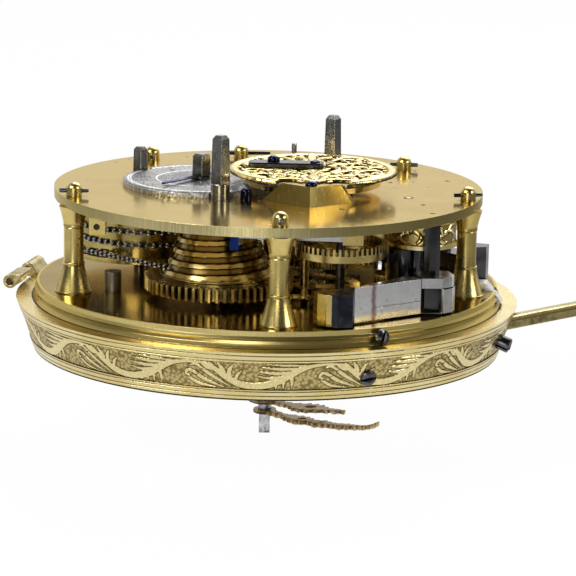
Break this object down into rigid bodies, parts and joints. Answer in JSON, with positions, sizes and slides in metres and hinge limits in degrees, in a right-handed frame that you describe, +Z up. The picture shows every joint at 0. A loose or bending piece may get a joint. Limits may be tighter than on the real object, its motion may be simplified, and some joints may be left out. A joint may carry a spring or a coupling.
{
  "type": "coach clock movement",
  "caption": "Coach clock movement lying dial down: two round plates on pillars with fusee, chain, barrels, verge escapement, engraved ring and domed dial.",
  "frame": {"origin": "tip of the hand-setting square, on the axis of the hands", "axes": "+Z up along the hands' axis from the dial to the top plate, +X to the right of the picture towards the pull lever's side, +Y away from the camera"},
  "size_m": [0.129, 0.1012, 0.0636],
  "materials": {
    "bright_brass": "polished",
    "gilt_brass": "engraved and gilt",
    "bright_steel": "polished",
    "blued_steel": "blued",
    "dark_steel": "dull, oiled",
    "white_enamel": "glossy enamel",
    "silvered_brass": "silvered, matt"
  },
  "bodies": {
    "frame": {"dial_ring": "gilt_brass", "pillar_plate": "bright_brass", "pillars": "bright_brass", "pillar_pins": "dark_steel", "top_plate": "bright_brass", "dial": "white_enamel", "minute_post": "dark_steel", "chain": "dark_steel", "spring_stud": "dark_steel", "potence": "bright_brass", "counter_potence": "bright_brass", "cock_foot": "gilt_brass", "cock_table": "gilt_brass", "pivot_bar": "bright_steel", "cock_screws": "blued_steel", "regulator_disc": "silvered_brass", "lever_stud": "dark_steel", "spring_post": "bright_steel", "hammer_spring": "bright_steel", "train_bridge": "bright_brass", "stop_block": "bright_brass", "worm_block": "bright_brass", "click_post": "dark_steel", "hinge_knuckles": "gilt_brass", "edge_screws": "dark_steel"},
    "centre": {"centre_arbor": "dark_steel", "centre_wheel": "bright_brass", "cannon": "dark_steel", "minute_hand": "gilt_brass"},
    "fusee": {"fusee_cone": "gilt_brass", "great_wheel": "bright_brass", "fusee_arbor": "dark_steel"},
    "barrel": {"barrel_drum": "bright_brass", "barrel_cap": "bright_brass", "mainspring": "blued_steel"},
    "barrel_arbor": {"barrel_arbor": "dark_steel"},
    "third": {"third_wheel": "bright_brass"},
    "contrate": {"contrate_wheel": "bright_brass", "contrate_arbor": "dark_steel"},
    "crown": {"crown_wheel": "bright_brass", "crown_arbor": "dark_steel"},
    "balance": {"balance_wheel": "bright_brass", "verge": "bright_steel", "balance_spring": "blued_steel"},
    "minute_wheel": {"minute_wheel": "bright_brass"},
    "hour": {"hour_wheel": "bright_brass", "hour_hand": "gilt_brass"},
    "regulator": {"regulator_square": "dark_steel", "regulator_hand": "blued_steel"},
    "strike": {"strike_barrel": "bright_brass", "strike_arbor": "dark_steel"},
    "second": {"second_wheel": "bright_brass"},
    "repeat": {"repeat_barrel": "gilt_brass", "repeat_arbor": "dark_steel"},
    "pull_lever": {"pull_lever": "bright_brass"},
    "hammer": {"hammer": "bright_steel", "hammer_tail": "bright_brass"},
    "far_hammer": {"far_hammer": "bright_steel"},
    "latch": {"latch_bolt": "bright_steel"},
    "stop_iron": {"stop_iron": "dark_steel"}
  },
  "joints": [
    {"name": "centre_turn", "type": "hinge", "parent": "frame", "child": "centre", "pos_m": [0, 0, 0], "axis": [0, 0, 1], "continuous": true},
    {"name": "fusee_turn", "type": "hinge", "parent": "frame", "child": "fusee", "pos_m": [-0.0094, -0.0146, 0.04], "axis": [0, 0, 1], "continuous": true, "deforming": ["chain"]},
    {"name": "barrel_turn", "type": "hinge", "parent": "frame", "child": "barrel", "pos_m": [-0.0264, 0.0109, 0.04], "axis": [0, 0, 1], "continuous": true, "deforming": ["chain", "mainspring"]},
    {"name": "barrel_arbor_turn", "type": "hinge", "parent": "frame", "child": "barrel_arbor", "pos_m": [-0.0264, 0.0109, 0.04], "axis": [0, 0, 1], "range_deg": [0, 360], "deforming": ["mainspring"]},
    {"name": "third_turn", "type": "hinge", "parent": "frame", "child": "third", "pos_m": [0.0075, -0.0115, 0.04], "axis": [0, 0, 1], "continuous": true},
    {"name": "contrate_turn", "type": "hinge", "parent": "frame", "child": "contrate", "pos_m": [0.0144, -0.0225, 0.04], "axis": [0, 0, 1], "continuous": true},
    {"name": "crown_turn", "type": "hinge", "parent": "frame", "child": "crown", "pos_m": [0.0088, -0.0033, 0.04522], "axis": [0.28, -0.96, 0], "continuous": true},
    {"name": "balance_swing", "type": "hinge", "parent": "frame", "child": "balance", "pos_m": [0.0088, -0.0033, 0.05], "axis": [0, 0, 1], "range_deg": [-50, 50], "stiffness_Nm_per_rad": 0.0002, "deforming": ["balance_spring"]},
    {"name": "minute_wheel_turn", "type": "hinge", "parent": "frame", "child": "minute_wheel", "pos_m": [-0.0068, 0.0068, 0.026], "axis": [0, 0, 1], "continuous": true},
    {"name": "hour_turn", "type": "hinge", "parent": "frame", "child": "hour", "pos_m": [0, 0, 0.01], "axis": [0, 0, 1], "continuous": true},
    {"name": "regulator_turn", "type": "hinge", "parent": "frame", "child": "regulator", "pos_m": [-0.0136, 0.0012, 0.054], "axis": [0, 0, 1], "range_deg": [-140, 70]},
    {"name": "strike_turn", "type": "hinge", "parent": "frame", "child": "strike", "pos_m": [0.0129, 0.0153, 0.04], "axis": [0, 0, 1], "continuous": true},
    {"name": "second_turn", "type": "hinge", "parent": "frame", "child": "second", "pos_m": [0.0246, 0.007, 0.04], "axis": [0, 0, 1], "continuous": true},
    {"name": "lever_pull", "type": "hinge", "parent": "frame", "child": "pull_lever", "pos_m": [0.0276, -0.0266, 0.026], "axis": [0, 0, 1], "range_deg": [0, 20], "stiffness_Nm_per_rad": 0.02},
    {"name": "repeat_turn", "type": "hinge", "parent": "frame", "child": "repeat", "pos_m": [0.0304, -0.0165, 0.04], "axis": [0, 0, 1], "range_deg": [-80, 0]},
    {"name": "hammer_swing", "type": "hinge", "parent": "frame", "child": "hammer", "pos_m": [0.0319, -0.025, 0.04], "axis": [0, 0, 1], "range_deg": [-8, 4], "stiffness_Nm_per_rad": 0.01},
    {"name": "far_hammer_swing", "type": "hinge", "parent": "frame", "child": "far_hammer", "pos_m": [0.0364, 0.0102, 0.04], "axis": [0, 0, 1], "range_deg": [-6, 4], "stiffness_Nm_per_rad": 0.01},
    {"name": "latch_slide", "type": "slide", "parent": "frame", "child": "latch", "axis": [-0.9936, 0.1132, 0], "range_m": [0, 0.0024], "stiffness_N_per_m": 60},
    {"name": "stop_iron_lift", "type": "hinge", "parent": "frame", "child": "stop_iron", "pos_m": [0.0157, -0.0286, 0.04665], "axis": [0, 1, 0], "range_deg": [0, 3], "stiffness_Nm_per_rad": 0.005}
  ],
  "couplings": [
    {"joint": "centre_turn", "follows": "contrate_turn", "ratio": 0.015625},
    {"joint": "third_turn", "follows": "contrate_turn", "ratio": -0.125},
    {"joint": "fusee_turn", "follows": "contrate_turn", "ratio": -0.0020833},
    {"joint": "barrel_turn", "follows": "contrate_turn", "ratio": -0.0014741},
    {"joint": "crown_turn", "follows": "contrate_turn", "ratio": -8.3333},
    {"joint": "minute_wheel_turn", "follows": "contrate_turn", "ratio": -0.0052083},
    {"joint": "hour_turn", "follows": "contrate_turn", "ratio": 0.0013021},
    {"joint": "second_turn", "follows": "strike_turn", "ratio": -7.5},
    {"joint": "repeat_turn", "follows": "lever_pull", "ratio": -4}
  ]
}
